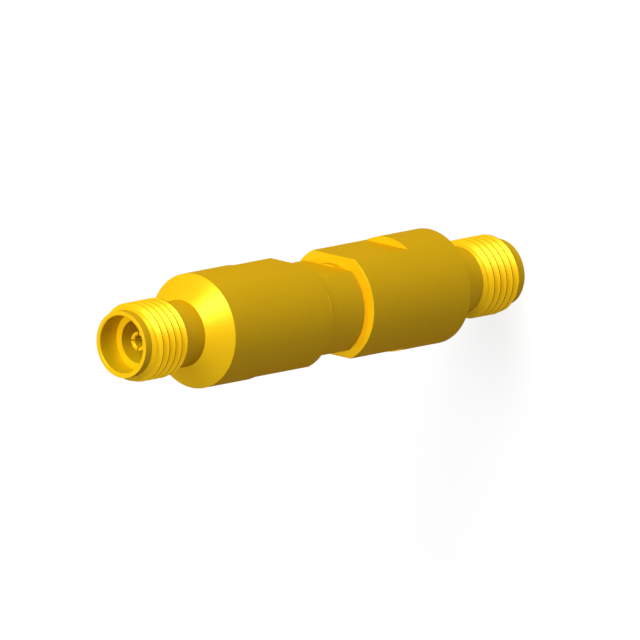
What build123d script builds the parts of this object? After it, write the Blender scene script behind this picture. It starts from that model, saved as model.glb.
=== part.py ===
from build123d import *
import os
from math import radians, tan

# In-line coaxial adapter with a female 3.5 mm air-line port at each end, all in gold-plated
# brass and beryllium copper. It stands on its lower port face: +Z runs up its axis, +X is the
# normal of the spanner flats, and both halves are the same pieces placed end for end.
# Sizes are in millimetres. Stations are distances from the adapter's middle along its axis.

# Port, to the 3.5 mm air-line pattern
air_line_d = 3.5
counterbore_d = 4.6
counterbore_depth = 1.93
mouth_chamfer = 0.06
nose_d = 5.35
nose_length = 0.73
port_thread_d = 6.35
port_thread_length = 4.05
neck_d = 5.36
neck_length = 2.08

# End body
cone_length = 1.47
body_d = 9.17
round_length = 4.95
body_flats = 8.0
body_flat_length = 6.2
seat_setback = 0.8

# Centre barrel, with a hollow stud at each end that carries an end body
barrel_d = 8.17
barrel_flats = 6.35
barrel_length = 3.8
barrel_gap = 0.52
pilot_d = 6.54
pilot_length = 1.6
pilot_step = 0.27
stud_thread_depth = 0.3
stud_lead_length = 2.4
run_out = 0.5

# Support bead and the metal ring it is pressed into
ring_thickness = 1.8
bead_d = 4.4
bead_bore_d = 1.1
bead_float = 0.02
bead_hole_d = 0.7
bead_hole_circle_d = 2.8
bead_hole_count = 6

# Centre contact and the rod between the contacts
contact_d = 1.52
contact_recess = 0.03
socket_d = 0.93
socket_depth = 3.6
socket_lead_in = 0.1
drill_angle = 118
slot_width = 0.15
slot_length = 2.8
slot_count = 4
screw_d = 0.9
screw_length = 1.8
tap_allowance = 0.4

# Radial clearances and edges
pilot_fit = 0.03
thread_fit = 0.04
lead_fit = 0.03
ring_fit = 0.01
bead_fit = 0.01
screw_fit = 0.02
edge_break = 0.03
fine_break = 0.03

# Diameters that step down along the stud, so that each slides past the one before it
stud_thread_d = pilot_d - 2 * pilot_step
ring_d = stud_thread_d - 2 * stud_thread_depth
stud_lead_d = ring_d - 2 * lead_fit

# Stations worked out from the sizes above
barrel_end = barrel_length / 2
body_start = barrel_end + barrel_gap
flat_end = body_start + body_flat_length
round_end = flat_end + round_length
cone_end = round_end + cone_length
neck_end = cone_end + neck_length
thread_end = neck_end + port_thread_length
half_length = thread_end + nose_length
reference_plane = half_length - counterbore_depth
bead_seat = round_end - seat_setback
stud_end = bead_seat - ring_thickness
pilot_end = body_start + pilot_length
stud_thread_end = stud_end - stud_lead_length
bead_back = stud_end + bead_float
contact_front = reference_plane - contact_recess


def turned(*section):
    """Revolve a closed half section, given as (radius, station) points, about the axis."""
    outline = Polyline(*[(radius, 0, station) for radius, station in section], close=True)
    return revolve(make_face(outline), Axis.Z)


def drill_point(hole_r):
    """Depth of the cone that a twist drill leaves at the floor of a hole."""
    return hole_r / tan(radians(drill_angle / 2))


def milled_flats(across, blank_d, start, end):
    """The two blocks a cutter takes off a round blank to leave flats facing +X and -X."""
    block = Box(blank_d, 2 * blank_d, end - start)
    offset = (across + blank_d) / 2
    return [Pos(side * offset, 0, (start + end) / 2) * block for side in (1, -1)]


def end_body():
    """Port body: bored nose and plain thread blank, neck, cone, round and spanner flats."""
    nose_r, port_r, neck_r, body_r = nose_d / 2, port_thread_d / 2, neck_d / 2, body_d / 2
    outside = [
        (body_r - edge_break, body_start),
        (body_r, body_start + edge_break),
        (body_r, round_end),
        (neck_r, cone_end),
        (neck_r, neck_end),
        (port_r, neck_end + port_r - neck_r),
        (port_r, thread_end - (port_r - nose_r)),
        (nose_r, thread_end),
        (nose_r, half_length - fine_break),
        (nose_r - fine_break, half_length),
    ]
    counterbore_r, air_r = counterbore_d / 2, air_line_d / 2
    ring_bore_r = ring_d / 2 + ring_fit
    tapped_r = stud_thread_d / 2 + thread_fit
    pilot_bore_r = pilot_d / 2 + pilot_fit
    tapped_end = stud_thread_end + run_out
    inside = [
        (counterbore_r + mouth_chamfer, half_length),
        (counterbore_r, half_length - mouth_chamfer),
        (counterbore_r, reference_plane),
        (air_r, reference_plane),
        (air_r, bead_seat),
        (ring_bore_r, bead_seat),
        (ring_bore_r, tapped_end),
        (tapped_r, tapped_end),
        (tapped_r, pilot_end + run_out),
        (pilot_bore_r, pilot_end + run_out),
        (pilot_bore_r, body_start),
    ]
    body = turned(*outside, *inside)
    return body - milled_flats(body_flats, body_d, body_start, flat_end)


def centre_barrel():
    """Short flatted barrel with a pilot, a threaded stud and a smooth lead at each end."""
    barrel_r, pilot_r, air_r = barrel_d / 2, pilot_d / 2, air_line_d / 2
    stud_r, lead_r = stud_thread_d / 2, stud_lead_d / 2
    upper = [
        (barrel_r, barrel_end - edge_break),
        (barrel_r - edge_break, barrel_end),
        (pilot_r, barrel_end),
        (pilot_r, pilot_end - edge_break),
        (pilot_r - edge_break, pilot_end),
        (stud_r, pilot_end),
        (stud_r, stud_thread_end - (stud_r - lead_r)),
        (lead_r, stud_thread_end),
        (lead_r, stud_end - edge_break),
        (lead_r - edge_break, stud_end),
        (air_r, stud_end),
    ]
    lower = [(radius, -station) for radius, station in reversed(upper)]
    barrel = turned(*upper, *lower)
    return barrel - milled_flats(barrel_flats, barrel_d, -barrel_end, barrel_end)


def bead_ring():
    """Metal ring, clamped between the stud and the body's seat, that carries the bead."""
    ring_r, bore_r = ring_d / 2, bead_d / 2 + bead_fit
    return turned(
        (bore_r, stud_end),
        (ring_r - edge_break, stud_end),
        (ring_r, stud_end + edge_break),
        (ring_r, bead_seat - edge_break),
        (ring_r - edge_break, bead_seat),
        (bore_r, bead_seat),
    )


def support_bead():
    """Insulating disc that centres the inner conductor, drilled to bring its impedance back."""
    bead_r, bore_r = bead_d / 2, bead_bore_d / 2
    disc = turned((bore_r, bead_back), (bead_r, bead_back), (bead_r, bead_seat), (bore_r, bead_seat))
    hole = Cylinder(bead_hole_d / 2, 2 * ring_thickness)
    # Begun a quarter of their spacing round, the holes of the two ends come out staggered.
    holes = PolarLocations(bead_hole_circle_d / 2, bead_hole_count, start_angle=90 / bead_hole_count)
    return disc - [Pos(0, 0, (bead_back + bead_seat) / 2) * place * hole for place in holes]


def socket_contact():
    """Slotted spring socket, with a neck through the bead and a screw into the rod."""
    contact_r, socket_r, screw_r = contact_d / 2, socket_d / 2, screw_d / 2
    neck_r = bead_bore_d / 2 - bead_fit
    screw_end = bead_back - screw_length
    socket_floor = contact_front - socket_depth
    contact = turned(
        (0, screw_end),
        (screw_r - fine_break, screw_end),
        (screw_r, screw_end + fine_break),
        (screw_r, bead_back),
        (neck_r, bead_back),
        (neck_r, bead_seat),
        (contact_r, bead_seat),
        (contact_r, contact_front - fine_break),
        (contact_r - fine_break, contact_front),
        (socket_r + socket_lead_in, contact_front),
        (socket_r, contact_front - socket_lead_in),
        (socket_r, socket_floor),
        (0, socket_floor - drill_point(socket_r)),
    )
    blade = Box(contact_d, slot_width, slot_length)
    saw_cut = Pos(contact_d / 2, 0, contact_front - slot_length / 2) * blade
    return contact - [Rot(0, 0, 360 * i / slot_count) * saw_cut for i in range(slot_count)]


def centre_rod():
    """Plain inner conductor between the beads, tapped at both ends for the contacts."""
    rod_r, tap_r = contact_d / 2, screw_d / 2 + screw_fit
    tap_floor = bead_back - screw_length - tap_allowance
    upper = [
        (rod_r, bead_back - fine_break),
        (rod_r - fine_break, bead_back),
        (tap_r, bead_back),
        (tap_r, tap_floor),
        (0, tap_floor - drill_point(tap_r)),
    ]
    lower = [(radius, -station) for radius, station in reversed(upper)]
    return turned(*upper, *lower)


def upper_end(piece):
    """Place a port piece on the upper half."""
    return Pos(0, 0, half_length) * piece


def lower_end(piece):
    """Place the same piece on the lower half, turned end for end about the flats' normal."""
    return Pos(0, 0, half_length) * Rot(180, 0, 0) * piece


paired = {
    "end_body": end_body(),
    "bead_ring": bead_ring(),
    "support_bead": support_bead(),
    "socket_contact": socket_contact(),
}
nodes = {
    "centre_barrel": Pos(0, 0, half_length) * centre_barrel(),
    "centre_rod": Pos(0, 0, half_length) * centre_rod(),
}
for name, piece in paired.items():
    nodes[name + "_upper"] = upper_end(piece)
    nodes[name + "_lower"] = lower_end(piece)

os.makedirs("parts", exist_ok=True)
for name, solid in nodes.items():
    export_step(solid, f"parts/{name}.step")
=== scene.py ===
from math import cos, inf, pi, radians, sin, tan

import bmesh
import bpy
import numpy as np
from mathutils import Matrix, Vector


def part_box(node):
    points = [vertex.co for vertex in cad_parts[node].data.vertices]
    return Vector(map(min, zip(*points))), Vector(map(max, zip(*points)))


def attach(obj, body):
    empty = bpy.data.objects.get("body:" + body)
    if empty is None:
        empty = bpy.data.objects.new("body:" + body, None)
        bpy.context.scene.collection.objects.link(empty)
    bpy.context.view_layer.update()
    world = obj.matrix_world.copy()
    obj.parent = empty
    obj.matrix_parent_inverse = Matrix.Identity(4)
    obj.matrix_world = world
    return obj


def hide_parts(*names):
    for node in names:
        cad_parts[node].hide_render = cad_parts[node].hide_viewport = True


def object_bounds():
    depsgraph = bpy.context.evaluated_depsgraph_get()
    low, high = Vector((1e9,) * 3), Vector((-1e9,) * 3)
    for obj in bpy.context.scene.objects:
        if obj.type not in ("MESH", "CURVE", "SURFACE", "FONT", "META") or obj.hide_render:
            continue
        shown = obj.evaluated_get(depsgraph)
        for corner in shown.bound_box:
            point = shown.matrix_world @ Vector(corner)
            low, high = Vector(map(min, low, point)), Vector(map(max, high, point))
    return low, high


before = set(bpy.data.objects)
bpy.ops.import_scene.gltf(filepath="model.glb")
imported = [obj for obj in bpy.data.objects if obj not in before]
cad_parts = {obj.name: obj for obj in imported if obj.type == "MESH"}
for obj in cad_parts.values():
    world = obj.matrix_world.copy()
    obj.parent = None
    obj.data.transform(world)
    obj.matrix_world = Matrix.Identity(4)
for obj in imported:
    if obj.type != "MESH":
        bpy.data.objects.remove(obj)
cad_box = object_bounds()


# Support beads
# Two amber high-temperature plastic discs that hold the inner conductor on the axis. Each is
# turned from rod and drilled with a ring of six holes, and its outer edge is pressed into a ring.
mm = 0.001
amber_deep = (0.30, 0.115, 0.010, 1)
amber_light = (0.42, 0.17, 0.020, 1)
bead_groove_pitch = 0.12 * mm
bead_groove_depth = 0.002 * mm
tone_drift_size = 3 * mm


def link(tree, source, target):
    """Join an output socket to an input socket."""
    tree.links.new(source, target)


def tool_marks_group():
    """Marks that a lathe or a cutter leaves, as height, and a slow drift of tone.

    With object coordinates, height is a one-dimensional noise of the station z plus one of the
    distance from the axis, both over the groove pitch. The second is faded out where the piece's
    own attribute says that the face was milled flat. Tone is a soft three-dimensional noise.
    """
    group = bpy.data.node_groups.new("tool_marks", "ShaderNodeTree")
    face = group.interface
    face.new_socket("Pitch", in_out="INPUT", socket_type="NodeSocketFloat")
    face.new_socket("Drift Size", in_out="INPUT", socket_type="NodeSocketFloat")
    face.new_socket("Height", in_out="OUTPUT", socket_type="NodeSocketFloat")
    face.new_socket("Tone", in_out="OUTPUT", socket_type="NodeSocketFloat")
    nodes = group.nodes
    given = nodes.new("NodeGroupInput")
    result = nodes.new("NodeGroupOutput")
    where = nodes.new("ShaderNodeTexCoord")
    axes = nodes.new("ShaderNodeSeparateXYZ")
    link(group, where.outputs["Object"], axes.inputs[0])

    def arithmetic(operation, first, second):
        node = nodes.new("ShaderNodeMath")
        node.operation = operation
        for socket, value in zip(node.inputs, (first, second)):
            if isinstance(value, (int, float)):
                socket.default_value = value
            else:
                link(group, value, socket)
        return node.outputs[0]

    across = arithmetic("MULTIPLY", axes.outputs["X"], axes.outputs["X"])
    along = arithmetic("MULTIPLY", axes.outputs["Y"], axes.outputs["Y"])
    from_axis = arithmetic("POWER", arithmetic("ADD", across, along), 0.5)

    def grooves(distance):
        noise = nodes.new("ShaderNodeTexNoise")
        noise.noise_dimensions = "1D"
        noise.inputs["Scale"].default_value = 1.0
        noise.inputs["Detail"].default_value = 2.0
        link(group, arithmetic("DIVIDE", distance, given.outputs["Pitch"]), noise.inputs["W"])
        return noise.outputs["Fac"]

    milled = nodes.new("ShaderNodeAttribute")
    milled.attribute_name = "milled"
    turned = arithmetic("SUBTRACT", 1.0, milled.outputs["Fac"])
    rings = arithmetic("MULTIPLY", grooves(from_axis), turned)
    link(group, arithmetic("ADD", grooves(axes.outputs["Z"]), rings), result.inputs["Height"])

    drift = nodes.new("ShaderNodeTexNoise")
    drift.inputs["Detail"].default_value = 3.0
    link(group, where.outputs["Object"], drift.inputs["Vector"])
    link(group, arithmetic("DIVIDE", 1.0, given.outputs["Drift Size"]), drift.inputs["Scale"])
    link(group, drift.outputs["Fac"], result.inputs["Tone"])
    return group


tool_marks = tool_marks_group()


def machined(name, dark, light, smooth, rough, pitch, depth):
    """A machined surface: its tone drifts between two colours, and its roughness between two
    values, and tool marks of the given pitch and depth lie on it. Returns material and shader."""
    material = bpy.data.materials.new(name)
    material.use_nodes = True
    tree = material.node_tree
    shader = tree.nodes["Principled BSDF"]
    marks = tree.nodes.new("ShaderNodeGroup")
    marks.node_tree = tool_marks
    marks.inputs["Pitch"].default_value = pitch
    marks.inputs["Drift Size"].default_value = tone_drift_size

    tint = tree.nodes.new("ShaderNodeMix")
    tint.data_type = "RGBA"
    tint.inputs["A"].default_value = dark
    tint.inputs["B"].default_value = light
    link(tree, marks.outputs["Tone"], tint.inputs["Factor"])
    link(tree, tint.outputs["Result"], shader.inputs["Base Color"])

    gloss = tree.nodes.new("ShaderNodeMapRange")
    gloss.inputs["From Min"].default_value = 0.3
    gloss.inputs["From Max"].default_value = 0.7
    gloss.inputs["To Min"].default_value = smooth
    gloss.inputs["To Max"].default_value = rough
    link(tree, marks.outputs["Height"], gloss.inputs["Value"])
    link(tree, gloss.outputs["Result"], shader.inputs["Roughness"])

    bump = tree.nodes.new("ShaderNodeBump")
    bump.inputs["Distance"].default_value = depth
    link(tree, marks.outputs["Height"], bump.inputs["Height"])
    link(tree, bump.outputs["Normal"], shader.inputs["Normal"])
    return material, shader


def dress(piece, material):
    """Put one material in every slot of a piece."""
    if not piece.material_slots:
        piece.data.materials.append(material)
    for place in piece.material_slots:
        place.material = material


amber_plastic, bead_shader = machined(
    "amber_plastic", amber_deep, amber_light, 0.32, 0.42, bead_groove_pitch, bead_groove_depth
)
bead_shader.inputs["IOR"].default_value = 1.65
bead_shader.inputs["Specular IOR Level"].default_value = 0.2
for end in ("upper", "lower"):
    dress(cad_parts["support_bead_" + end], amber_plastic)


# Bead rings
# Gold-plated brass rings, turned, that carry the beads. Each is clamped between the end of the
# barrel's stud and a seat inside the end body, so that the plastic takes no load.
gold_deep = (0.695, 0.415, 0.002, 1)
gold_light = (0.745, 0.445, 0.004, 1)
gold_edge = (0.85, 0.52, 0.02, 1)
body_groove_pitch = 0.16 * mm
body_groove_depth = 0.0012 * mm


def gold_plated(name, smooth, rough, pitch, depth):
    """A machined surface under satin gold plate: partly metallic, with a thin coat of high index
    that gives its highlight. Returns material and shader."""
    material, shader = machined(name, gold_deep, gold_light, smooth, rough, pitch, depth)
    shader.inputs["Metallic"].default_value = 0.25
    shader.inputs["Specular Tint"].default_value = gold_edge
    shader.inputs["Specular IOR Level"].default_value = 0.0
    shader.inputs["Coat Weight"].default_value = 0.018
    shader.inputs["Coat Roughness"].default_value = 0.30
    shader.inputs["Coat IOR"].default_value = 4.0
    return material, shader


satin_gold, body_shader = gold_plated(
    "satin_gold", 0.30, 0.38, body_groove_pitch, body_groove_depth
)
for end in ("upper", "lower"):
    dress(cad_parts["bead_ring_" + end], satin_gold)


# Centre rod
# The inner conductor between the two beads, gold-plated beryllium copper, ground smooth. The
# contacts screw into its tapped ends.
contact_groove_pitch = 0.08 * mm
contact_groove_depth = 0.0006 * mm

ground_gold, contact_shader = gold_plated(
    "ground_gold", 0.24, 0.32, contact_groove_pitch, contact_groove_depth
)
dress(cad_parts["centre_rod"], ground_gold)


# Socket contacts
# Gold-plated beryllium copper sockets that grip a mating pin. Each is turned, drilled, sawn into
# four spring fingers, and screwed through its bead into the rod.
total_length = cad_box[1].z
contact_low, contact_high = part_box("socket_contact_upper")
bead_low, bead_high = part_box("support_bead_upper")
contact_r = contact_high.y
contact_front = contact_high.z
contact_neck_r = 0.54 * mm
screw_r = 0.45 * mm
socket_r = 0.465 * mm
socket_depth = 3.6 * mm
socket_lead_in = 0.1 * mm
drill_half_angle = radians(59)
drill_point = socket_r / tan(drill_half_angle)
slot_width = 0.15 * mm
slot_length = 2.8 * mm
finger_count = 4
finger_columns = 24
fine_break = 0.03 * mm
sharp_angle = radians(20)
weld = 1e-7
least_turn = 1e-6
tiny = 1e-9
beside_corner = 0.2


def eased(corners, steps=4):
    """Half section with rounded corners, from rows of (radius, station, ease).

    At each corner an arc of radius ease touches both sides. With u and v the unit vectors to the
    neighbours and a half the angle between them, its centre lies ease / sin a towards u + v, and
    it starts and ends ease / tan a along u and v. Between, its points turn about the centre.
    One more point lies on each side, 0.2 ease further on, so that the shading of the corner's
    curve stops there and the long faces beside it are shaded straight.
    """
    corners = np.array(corners, float)
    place, ease = corners[:, :2], corners[:, 2:]
    to_last = np.roll(place, 1, axis=0) - place
    to_next = np.roll(place, -1, axis=0) - place
    to_last /= np.linalg.norm(to_last, axis=1, keepdims=True)
    to_next /= np.linalg.norm(to_next, axis=1, keepdims=True)
    between = np.arccos(np.clip(np.sum(to_last * to_next, axis=1, keepdims=True), -1, 1))
    middle = to_last + to_next
    middle /= np.maximum(np.linalg.norm(middle, axis=1, keepdims=True), tiny)
    centre = place + middle * ease / np.sin(between / 2)
    first = place + to_last * ease / np.tan(between / 2) - centre
    last = place + to_next * ease / np.tan(between / 2) - centre
    turn = np.maximum(pi - between, least_turn)
    points = [
        centre + (first * np.sin((1 - k) * turn) + last * np.sin(k * turn)) / np.sin(turn)
        for k in np.linspace(0, 1, steps + 1)
    ]
    points.insert(0, points[0] + beside_corner * ease * to_last)
    points.append(points[-1] + beside_corner * ease * to_next)
    outline = np.stack(points, axis=1).reshape(-1, 2)
    gap = np.linalg.norm(outline - np.roll(outline, 1, axis=0), axis=1)
    return outline[gap > weld]


def grid_faces(rows, columns):
    """Four-sided faces between neighbouring points of a grid of rows by columns."""
    index = np.arange(rows * columns).reshape(rows, columns)
    corner = (index[:-1, :-1], index[:-1, 1:], index[1:, 1:], index[1:, :-1])
    return np.stack(corner, axis=-1)


def around(radius, theta, station):
    """Points at the given distance from the axis, angle about it and station along it."""
    radius, theta, station = np.broadcast_arrays(radius, theta, station)
    return np.stack((radius * np.cos(theta), radius * np.sin(theta), station), axis=-1)


def piece_from(name, points, faces, material, node):
    """Mesh piece from points and faces. Points that meet are merged, which closes its seams and
    poles, faces are turned outwards, and edges sharper than the sharp angle stay sharp."""
    mesh = bpy.data.meshes.new(name)
    mesh.from_pydata(points.reshape(-1, 3).tolist(), [], faces)
    work = bmesh.new()
    work.from_mesh(mesh)
    bmesh.ops.remove_doubles(work, verts=work.verts, dist=weld)
    bmesh.ops.recalc_face_normals(work, faces=work.faces)
    work.to_mesh(mesh)
    work.free()
    mesh.shade_smooth()
    mesh.set_sharp_from_angle(angle=sharp_angle)
    mesh.materials.append(material)
    piece = bpy.data.objects.new(name, mesh)
    bpy.context.scene.collection.objects.link(piece)
    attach(piece, "root")
    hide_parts(node)
    return piece


def end_for_end(points):
    """The same points after a half turn about a line along X through the adapter's middle."""
    return points * (1, -1, -1) + (0, 0, total_length)


def slotted_contact(profile):
    """Points and faces of a contact turned from a half section and sawn into spring fingers.

    Each row of the grid carries one point of the half section round the axis, in even steps over
    every finger. A finger starts and ends beside a slot, at an angle whose sine is half the slot's
    width over the radius, so that the slot's two sides are parallel. On the axis any angle will
    do. Down to the slot's floor no quad spans it: each side is one flat face, with the half
    section as its outline, and the floor is another.
    """
    radii, stations = profile.T[:, :, None]
    half_slot = np.arcsin(slot_width / 2 / np.maximum(radii, slot_width))[:, :, None]
    finger_start = np.arange(finger_count)[:, None] * 2 * pi / finger_count
    share = np.linspace(0, 1, finger_columns)
    angles = finger_start + half_slot + share * (2 * pi / finger_count - 2 * half_slot)
    points = around(radii, angles.reshape(len(radii), -1), stations)
    points = np.concatenate((points, points[:, :1]), axis=1)

    rows, columns = points.shape[:2]
    index = np.arange(rows * columns).reshape(rows, columns)
    in_front = stations[:, 0] > contact_front - slot_length - weld
    sawn_rows = np.flatnonzero(in_front & (radii[:, 0] > socket_r - weld))
    quads = grid_faces(rows, columns)
    spans_slot = np.zeros(quads.shape[:2], bool)
    spans_slot[sawn_rows[0]:sawn_rows[-1], finger_columns - 1::finger_columns] = True
    faces = quads[~spans_slot].tolist()
    for column in range(columns - 1):
        if column % finger_columns in (0, finger_columns - 1):
            faces.append(index[sawn_rows, column].tolist())
    for column in range(finger_columns - 1, columns - 1, finger_columns):
        floor_edges = index[sawn_rows[[0, -1]]][:, [column, column + 1]]
        faces.append(floor_edges.ravel()[[0, 1, 3, 2]].tolist())
    return points, faces


contact_profile = eased([
    (0, contact_low.z, 0),
    (screw_r, contact_low.z, fine_break),
    (screw_r, bead_low.z, 0),
    (contact_neck_r, bead_low.z, 0),
    (contact_neck_r, bead_high.z, 0),
    (contact_r, bead_high.z, fine_break),
    (contact_r, contact_front - slot_length, 0),
    (contact_r, contact_front, fine_break),
    (socket_r + socket_lead_in, contact_front, 0),
    (socket_r, contact_front - socket_lead_in, 0),
    (socket_r, contact_front - slot_length, 0),
    (socket_r, contact_front - socket_depth, 0),
    (0, contact_front - socket_depth - drill_point, 0),
])
contact_points, contact_faces = slotted_contact(contact_profile)
contact_upper = piece_from(
    "contact_upper", contact_points, contact_faces, ground_gold,
    "socket_contact_upper",
)
contact_lower = piece_from(
    "contact_lower", end_for_end(contact_points), contact_faces, ground_gold,
    "socket_contact_lower",
)


# Centre barrel
# Short gold-plated brass barrel that joins the two end bodies. It is turned with a pilot, a
# threaded stud and a smooth lead at each end, bored through, and milled with two flats.
barrel_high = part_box("centre_barrel")[1]
middle_z = total_length / 2
barrel_r = barrel_high.y
barrel_flat = 3.175 * mm
barrel_end = middle_z + 1.9 * mm
pilot_r = barrel_high.x
pilot_end = middle_z + 4.02 * mm
stud_r = 3.0 * mm
stud_thread_end = middle_z + 8.57 * mm
lead_r = 2.67 * mm
air_r = 1.75 * mm
edge_break = 0.03 * mm
turn_columns = 192
cosine_gap = 0.004
square_on = 0.999


def turned_angles(radius, flat):
    """Evenly spread angles once round, joined by the four at which flats cut the round blank.
    An even angle is left out where its cosine is closer than the gap to a flat's edge."""
    corner = np.arccos(flat / radius)
    even = np.linspace(0, 2 * pi, turn_columns + 1)
    kept = np.abs(np.abs(np.cos(even)) - flat / radius) > cosine_gap
    return np.sort(np.append(even[kept], (corner, pi - corner, pi + corner, 2 * pi - corner)))


def milled(radius, theta, flat):
    """Distance from the axis of a blank of this radius with flats at this distance, facing +X
    and -X: the smaller of the radius and flat / |cos theta|."""
    return np.minimum(radius, flat / np.maximum(np.abs(np.cos(theta)), tiny))


def face_lie(piece):
    """Normals and centres of a piece's faces, one row each."""
    faces = piece.data.polygons
    found = []
    for quality in ("normal", "center"):
        values = np.zeros(len(faces) * 3)
        faces.foreach_get(quality, values)
        found.append(values.reshape(-1, 3))
    return found


def mark_faces(piece, name, chosen):
    """Store an attribute of this name on a piece's faces: 1 on the chosen ones, 0 on the rest."""
    attribute = piece.data.attributes.new(name, "FLOAT", "FACE")
    attribute.data.foreach_set("value", chosen.astype(np.float32))


def mark_milled(piece, flat, low, high):
    """Mark as milled the faces that lie on the flats, between two stations."""
    normals, centres = face_lie(piece)
    facing = np.abs(normals[:, 0]) > square_on
    on_flat = np.abs(np.abs(centres[:, 0]) - flat) < weld
    between = (centres[:, 2] > low) & (centres[:, 2] < high)
    mark_faces(piece, "milled", facing & on_flat & between)


barrel_half = [
    (barrel_r, barrel_end, edge_break),
    (pilot_r, barrel_end, 0),
    (pilot_r, pilot_end, edge_break),
    (stud_r, pilot_end, 0),
    (stud_r, stud_thread_end - (stud_r - lead_r), 0),
    (lead_r, stud_thread_end, 0),
    (lead_r, barrel_high.z, edge_break),
    (air_r, barrel_high.z, 0),
]
barrel_mirror = [(radius, total_length - station, ease) for radius, station, ease in barrel_half]
barrel_profile = eased(barrel_half + barrel_mirror[::-1])
barrel_profile = np.concatenate((barrel_profile, barrel_profile[:1]))
barrel_radii, barrel_stations = barrel_profile.T[:, :, None]
barrel_angles = turned_angles(barrel_r, barrel_flat)
# The cutter meets only the barrel itself, and never the thinner pilots and studs.
barrel_cut = np.where(barrel_radii > pilot_r + weld, barrel_flat, inf)
barrel_points = around(
    milled(barrel_radii, barrel_angles, barrel_cut), barrel_angles, barrel_stations
)
barrel_faces = grid_faces(*barrel_points.shape[:2]).reshape(-1, 4).tolist()
barrel = piece_from(
    "barrel", barrel_points, barrel_faces, satin_gold, "centre_barrel"
)
mark_milled(barrel, barrel_flat, total_length - barrel_end, barrel_end)


# End bodies
# The two gold-plated brass port bodies, one piece each: turned and bored, with a 1/4-36 thread
# cut on the port and two spanner flats milled on the back. They screw on to the barrel's studs.
body_low, body_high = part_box("end_body_upper")
body_r = body_high.y
body_flat = 4.0 * mm
flat_end = body_low.z + 6.2 * mm
round_end = flat_end + 4.95 * mm
cone_end = round_end + 1.47 * mm
neck_end = cone_end + 2.08 * mm
thread_end = neck_end + 4.05 * mm
port_face = body_high.z
neck_r = 2.68 * mm
nose_r = 2.675 * mm
port_thread_r = 3.175 * mm
thread_pitch = 25.4 * mm / 36
crest_station = middle_z + 0.915 * thread_pitch
crest_azimuth = radians(-72.3)
mouth_r = 2.3 * mm
mouth_chamfer = 0.06 * mm
reference_plane = port_face - 1.93 * mm
ring_bore_r = 2.71 * mm
tapped_bore_r = 3.04 * mm
pilot_bore_r = 3.3 * mm
tapped_end = stud_thread_end + 0.5 * mm
pilot_bore_end = pilot_end + 0.5 * mm
# A darker tone for the faces inside the bores: painted shade.
bore_painted_shade = (0.62, 0.45, 0.003, 1)
# A darker tone for the thread's crests: painted shade, which draws them as thin dark lines.
crest_painted_shade = (0.42, 0.285, 0.002, 1)
half_crest = 1 / 16
root_share = 0.144
flank_angle = pi / 6
flank_rows = 14
root_rows = 8
straight_in = 0.95
crest_reach = 10 * weld


def thread_depth(along):
    """Depth below the crest of a 60 degree thread, by distance along the axis from a crest.

    With P the pitch and d the distance from the nearest crest, it is 0 up to P / 16 and then
    rises by the square root of 3 times d - P / 16. Near d = P / 2 an arc of radius 0.144 P,
    centred 2 radii above the point where the flanks would meet, rounds the root.
    """
    pitch = thread_pitch
    away = np.abs(along - pitch * np.round(along / pitch))
    flank = np.sqrt(3) * np.maximum(away - half_crest * pitch, 0)
    root_r = root_share * pitch
    centre = np.sqrt(3) * (1 / 2 - half_crest) * pitch - 2 * root_r
    from_middle = pitch / 2 - away
    arc = centre + np.sqrt(np.maximum(root_r ** 2 - from_middle ** 2, 0))
    return np.where(from_middle < root_r * cos(flank_angle), arc, flank)


def threaded(theta, start, end, start_r, end_r):
    """Radius and station of a right-hand thread cut between two stations, on a sheared grid.

    Each row follows the helix: its station is the row's own plus P theta / 2 pi, with P the pitch,
    held between start and end. Its radius is the crest's less the thread's depth, and no more
    than the 45 degree leads at both ends allow.
    """
    pitch = thread_pitch
    half_root = root_share * cos(flank_angle)
    flank = np.linspace(half_crest, 1 / 2 - half_root, flank_rows)
    root = np.linspace(1 / 2 - half_root, 1 / 2, root_rows)[1:]
    half_turn = np.concatenate(((0,), flank, root))
    turn = np.concatenate((half_turn, 1 - half_turn[-2:0:-1]))
    first = np.floor((start - crest_station) / pitch) - 1
    turns = np.arange(first, np.ceil((end - crest_station) / pitch) + 2)
    rows = ((turns[:, None] + turn) * pitch).reshape(-1, 1)
    climb = pitch * (theta - crest_azimuth % (2 * pi)) / (2 * pi)
    station = np.clip(crest_station + rows + climb, start, end)
    lead = np.minimum(start_r + station - start, end_r + end - station)
    radius = np.minimum(port_thread_r - thread_depth(rows), lead)
    return radius, station


body_angles = turned_angles(body_r, body_flat)
back_profile = eased([
    (pilot_bore_r, body_low.z, 0),
    (body_r, body_low.z, edge_break),
    (body_r, flat_end, 0),
    (body_r, round_end, edge_break),
    (neck_r, cone_end, edge_break),
    (neck_r, neck_end, 0),
    (mouth_r, neck_end, 0),
])[:-1]
front_profile = eased([
    (mouth_r, thread_end, 0),
    (nose_r, thread_end, 0),
    (nose_r, port_face, fine_break),
    (mouth_r + mouth_chamfer, port_face, 0),
    (mouth_r, port_face - mouth_chamfer, 0),
    (mouth_r, reference_plane, 0),
    (air_r, reference_plane, 0),
    (air_r, bead_high.z, 0),
    (ring_bore_r, bead_high.z, 0),
    (ring_bore_r, tapped_end, 0),
    (tapped_bore_r, tapped_end, 0),
    (tapped_bore_r, pilot_bore_end, 0),
    (pilot_bore_r, pilot_bore_end, 0),
    (pilot_bore_r, body_low.z, 0),
])[1:]
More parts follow.
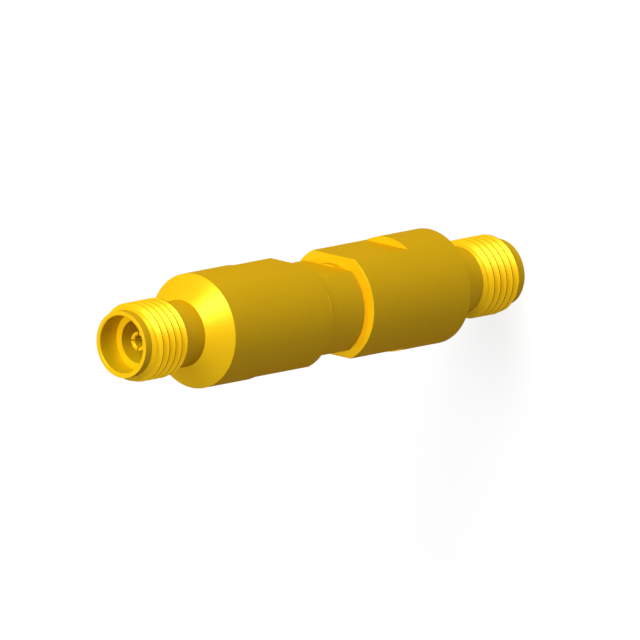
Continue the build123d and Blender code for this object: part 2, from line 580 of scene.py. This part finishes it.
# The flats end in a square shoulder, so its row comes twice: once milled, and once round.
shoulder = np.flatnonzero(np.abs(back_profile[:, 1] - flat_end) < weld)[0]
back_profile = np.insert(back_profile, shoulder, back_profile[shoulder], axis=0)
back_radii, back_stations = back_profile.T[:, :, None]
back_cut = np.where(np.arange(len(back_profile))[:, None] <= shoulder, body_flat, inf)
front_radii, front_stations = front_profile.T[:, :, None]
thread_radii, thread_stations = threaded(body_angles, neck_end, thread_end, neck_r, nose_r)
body_points = np.concatenate((
    around(milled(back_radii, body_angles, back_cut), body_angles, back_stations),
    around(thread_radii, body_angles, thread_stations),
    around(front_radii, body_angles, front_stations),
))
body_faces = grid_faces(*body_points.shape[:2]).reshape(-1, 4).tolist()
body_upper = piece_from(
    "body_upper", body_points, body_faces, satin_gold, "end_body_upper"
)
body_lower = piece_from(
    "body_lower", end_for_end(body_points), body_faces, satin_gold, "end_body_lower"
)
mark_milled(body_upper, body_flat, body_low.z, flat_end)
mark_milled(body_lower, body_flat, total_length - flat_end, total_length - body_low.z)


def mark_bored(piece):
    """Mark as bored the faces whose normal points straight at the axis."""
    normals, centres = face_lie(piece)
    from_axis = np.maximum(np.linalg.norm(centres[:, :2], axis=1), weld)
    outward = np.sum(normals[:, :2] * centres[:, :2], axis=1) / from_axis
    mark_faces(piece, "bored", outward < -straight_in)


def mark_crests(piece):
    """Mark as crests the faces that lie on the port thread's outside diameter."""
    centres = face_lie(piece)[1]
    from_axis = np.linalg.norm(centres[:, :2], axis=1)
    mark_faces(piece, "crest", np.abs(from_axis - port_thread_r) < crest_reach)


def toned_where(tree, shader, attribute, tone):
    """Mix a tone into a shader's base colour where a piece's attribute is 1."""
    mask = tree.nodes.new("ShaderNodeAttribute")
    mask.attribute_name = attribute
    mix = tree.nodes.new("ShaderNodeMix")
    mix.data_type = "RGBA"
    mix.inputs["B"].default_value = tone
    link(tree, mask.outputs["Fac"], mix.inputs["Factor"])
    link(tree, shader.inputs["Base Color"].links[0].from_socket, mix.inputs["A"])
    link(tree, mix.outputs["Result"], shader.inputs["Base Color"])


# Painted shade: the faces inside the bores take a darker, less orange tone, where shade falls
# in the bores. The thread's narrow crests take a darker tone too, painted shade that lines them.
for hollow in (body_upper, body_lower, barrel, contact_upper, contact_lower):
    mark_bored(hollow)
for threaded_body in (body_upper, body_lower):
    mark_crests(threaded_body)
toned_where(satin_gold.node_tree, body_shader, "bored", bore_painted_shade)
toned_where(satin_gold.node_tree, body_shader, "crest", crest_painted_shade)
toned_where(ground_gold.node_tree, contact_shader, "bored", bore_painted_shade)


# Floor and surroundings
# A plain pale floor that the adapter stands on, matt, and an even pale sky all round it. Both
# show white to the camera and in reflections, and the floor keeps the adapter's shadow.
floor_half = 1.5
floor_grey = (0.175, 0.175, 0.175, 1)
floor_glow = 0.795
sky_light = 0.09
sky_seen = 1.0


def seen_directly(tree):
    """1 on rays from the camera, on glossy rays and on rays through glass, and 0 on others."""
    path = tree.nodes.new("ShaderNodeLightPath")
    seen = path.outputs["Is Camera Ray"]
    for ray in ("Is Glossy Ray", "Is Transmission Ray"):
        either = tree.nodes.new("ShaderNodeMath")
        either.operation = "MAXIMUM"
        link(tree, seen, either.inputs[0])
        link(tree, path.outputs[ray], either.inputs[1])
        seen = either.outputs[0]
    return seen


floor_paint = bpy.data.materials.new("pale_floor")
floor_paint.use_nodes = True
floor_tree = floor_paint.node_tree
floor_shader = floor_tree.nodes["Principled BSDF"]
floor_shader.inputs["Base Color"].default_value = floor_grey
floor_shader.inputs["Roughness"].default_value = 1.0
floor_shader.inputs["Specular IOR Level"].default_value = 0.0
floor_shader.inputs["Emission Color"].default_value = (1, 1, 1, 1)
glow = floor_tree.nodes.new("ShaderNodeMath")
glow.operation = "MULTIPLY"
glow.inputs[1].default_value = floor_glow
link(floor_tree, seen_directly(floor_tree), glow.inputs[0])
link(floor_tree, glow.outputs[0], floor_shader.inputs["Emission Strength"])

floor_mesh = bpy.data.meshes.new("floor")
floor_corners = [(-1, -1, 0), (1, -1, 0), (1, 1, 0), (-1, 1, 0)]
floor_mesh.from_pydata([Vector(c) * floor_half for c in floor_corners], [], [(0, 1, 2, 3)])
floor_mesh.materials.append(floor_paint)
floor = bpy.data.objects.new("floor", floor_mesh)
bpy.context.scene.collection.objects.link(floor)

world = bpy.data.worlds.new("pale_sky")
world.use_nodes = True
bpy.context.scene.world = world
sky_tree = world.node_tree
background = sky_tree.nodes["Background"]
background.inputs["Color"].default_value = (1, 1, 1, 1)
strength = sky_tree.nodes.new("ShaderNodeMapRange")
strength.inputs["To Min"].default_value = sky_light
strength.inputs["To Max"].default_value = sky_seen
link(sky_tree, seen_directly(sky_tree), strength.inputs["Value"])
link(sky_tree, strength.outputs["Result"], background.inputs["Strength"])


# Camera
# The photograph's own view, without perspective: the axis leans away from the viewer and climbs
# to the right, and the flats are turned a little about it. Its scale comes from the port thread.
image_width_px = 640
px_per_mm = 12.688
axis_climb = radians(10.8435)
view_lean = radians(46.03)
flats_turn = radians(17.7)
centre_along_px = -7.1
centre_above_px = 13.217
camera_distance = 0.3

toward = Vector((sin(flats_turn), -cos(flats_turn), 0))
sideways = Vector((cos(flats_turn), sin(flats_turn), 0))
axis_up = Vector((0, 0, 1))
along_image = toward * sin(view_lean) - axis_up * cos(view_lean)
to_viewer = toward * cos(view_lean) + axis_up * sin(view_lean)
image_right = along_image * cos(axis_climb) - sideways * sin(axis_climb)
image_up = along_image * sin(axis_climb) + sideways * cos(axis_climb)
target = Vector((0, 0, middle_z))
target -= (along_image * centre_along_px + sideways * centre_above_px) * mm / px_per_mm

lens = bpy.data.cameras.new("camera")
lens.type = "ORTHO"
lens.ortho_scale = image_width_px * mm / px_per_mm
lens.clip_start = 0.001
camera = bpy.data.objects.new("camera", lens)
bpy.context.scene.collection.objects.link(camera)
turned_to = Matrix((image_right, image_up, to_viewer)).transposed()
camera.matrix_world = Matrix.Translation(target + to_viewer * camera_distance) @ turned_to.to_4x4()
bpy.context.scene.camera = camera


# Lamps
# Soft square studio lamps round the adapter, each given by its bearing from the viewer's side
# and its height, both in degrees, its width, and the radiance of its face. The key casts the
# adapter's shadow. The fills are stopped only by what lies in the bores, and go no deeper.
lamp_distance = 1.2


def softbox(name, bearing, height, width, brightness, stoppers=None, unlit=None):
    """Square lamp that faces the adapter's middle. Its power is pi times area times radiance.
    If stoppers are given, only they throw a shadow in its light, and it leaves out the unlit."""
    bearing, height = radians(bearing), radians(height)
    flat_way = toward * cos(bearing) + sideways * sin(bearing)
    way = flat_way * cos(height) + axis_up * sin(height)
    light = bpy.data.lights.new(name, "AREA")
    light.shape = "SQUARE"
    light.size = width
    light.energy = pi * width ** 2 * brightness
    lamp = bpy.data.objects.new(name, light)
    lamp.location = Vector((0, 0, middle_z)) + way * lamp_distance
    lamp.rotation_euler = way.to_track_quat("Z", "Y").to_euler()
    lamp.visible_camera = False
    lamp.light_linking.blocker_collection = stoppers
    lamp.light_linking.receiver_collection = unlit
    bpy.context.scene.collection.objects.link(lamp)


in_bores = bpy.data.collections.new("in_bores")
for piece in (contact_upper, contact_lower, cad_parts["support_bead_upper"]):
    in_bores.objects.link(piece)
behind_bead = bpy.data.collections.new("behind_bead")
for name in ("bead_ring_upper", "bead_ring_lower", "centre_rod", "support_bead_lower"):
    in_bores.objects.link(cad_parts[name])
    behind_bead.objects.link(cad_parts[name])
for place in behind_bead.collection_objects:
    place.light_linking.link_state = "EXCLUDE"

softbox("key_lamp", bearing=58, height=50, width=0.40, brightness=9.4)
softbox(
    "fill_lamp", bearing=64, height=62.8, width=0.72, brightness=11.2,
    stoppers=in_bores, unlit=behind_bead,
)
softbox(
    "back_fill_lamp", bearing=180, height=8, width=0.30, brightness=13.0,
    stoppers=in_bores, unlit=behind_bead,
)

bpy.context.scene.view_settings.view_transform = "Standard"
